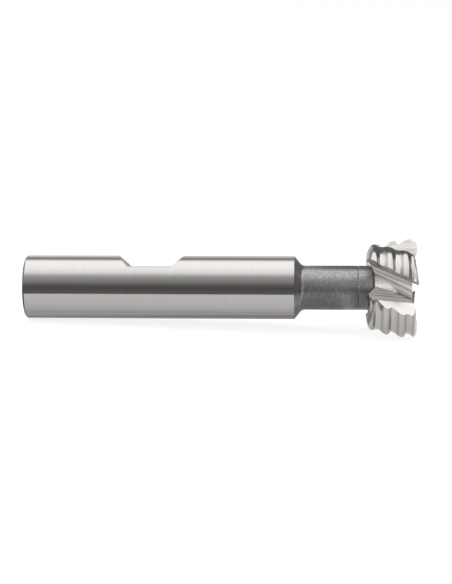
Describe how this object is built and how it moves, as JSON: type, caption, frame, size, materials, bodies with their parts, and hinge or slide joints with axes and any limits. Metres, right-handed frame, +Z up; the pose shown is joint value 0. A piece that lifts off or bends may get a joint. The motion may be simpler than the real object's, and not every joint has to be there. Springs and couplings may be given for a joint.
{
  "type": "t slot cutter",
  "caption": "Solid steel T slot milling cutter: plain cylindrical shank with a clamping flat, slim neck, and a wide head of helical teeth with waved roughing lands.",
  "frame": {"origin": "centre of the shank's flat end face, on the tool's axis", "axes": "+X along the tool's axis from shank to head; +Z up as the cutter lies on its shank end and two teeth, with the clamping flat facing up, turned 12.7 degrees back towards +Y"},
  "size_m": [0.062, 0.0147, 0.0147],
  "materials": {
    "high_speed_steel": "bright ground tool steel on shank and teeth, darker satin on cone and neck"
  },
  "bodies": {
    "root": {"t_slot_cutter": "high_speed_steel"}
  },
  "joints": []
}
